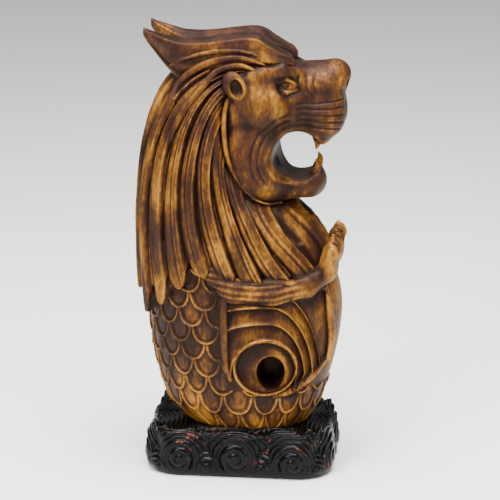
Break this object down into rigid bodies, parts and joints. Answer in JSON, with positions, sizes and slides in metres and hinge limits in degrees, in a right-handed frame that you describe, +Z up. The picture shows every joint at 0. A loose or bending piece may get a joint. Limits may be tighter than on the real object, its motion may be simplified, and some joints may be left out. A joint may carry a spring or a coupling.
{
  "type": "ship figurehead",
  "caption": "Carved gilt wood sea-lion: a roaring lion's head, mane and raised webbed paws on a scaled fish's body, standing on a black lacquered base of waves.",
  "frame": {"origin": "middle of the base's flat underside", "axes": "+Z up, +X the way the lion faces; the figure is symmetric about Y = 0"},
  "size_m": [0.364, 0.2718, 0.7752],
  "materials": {
    "worn_gilding": "carved hardwood, oil-gilt over a red-brown ground, rubbed and darkened in the hollows",
    "black_lacquer": "carved wood, glossy black lacquer over a red ground, chipped on the edges"
  },
  "bodies": {
    "root": {"sea_lion_figure": "worn_gilding", "wave_base": "black_lacquer"}
  },
  "joints": []
}
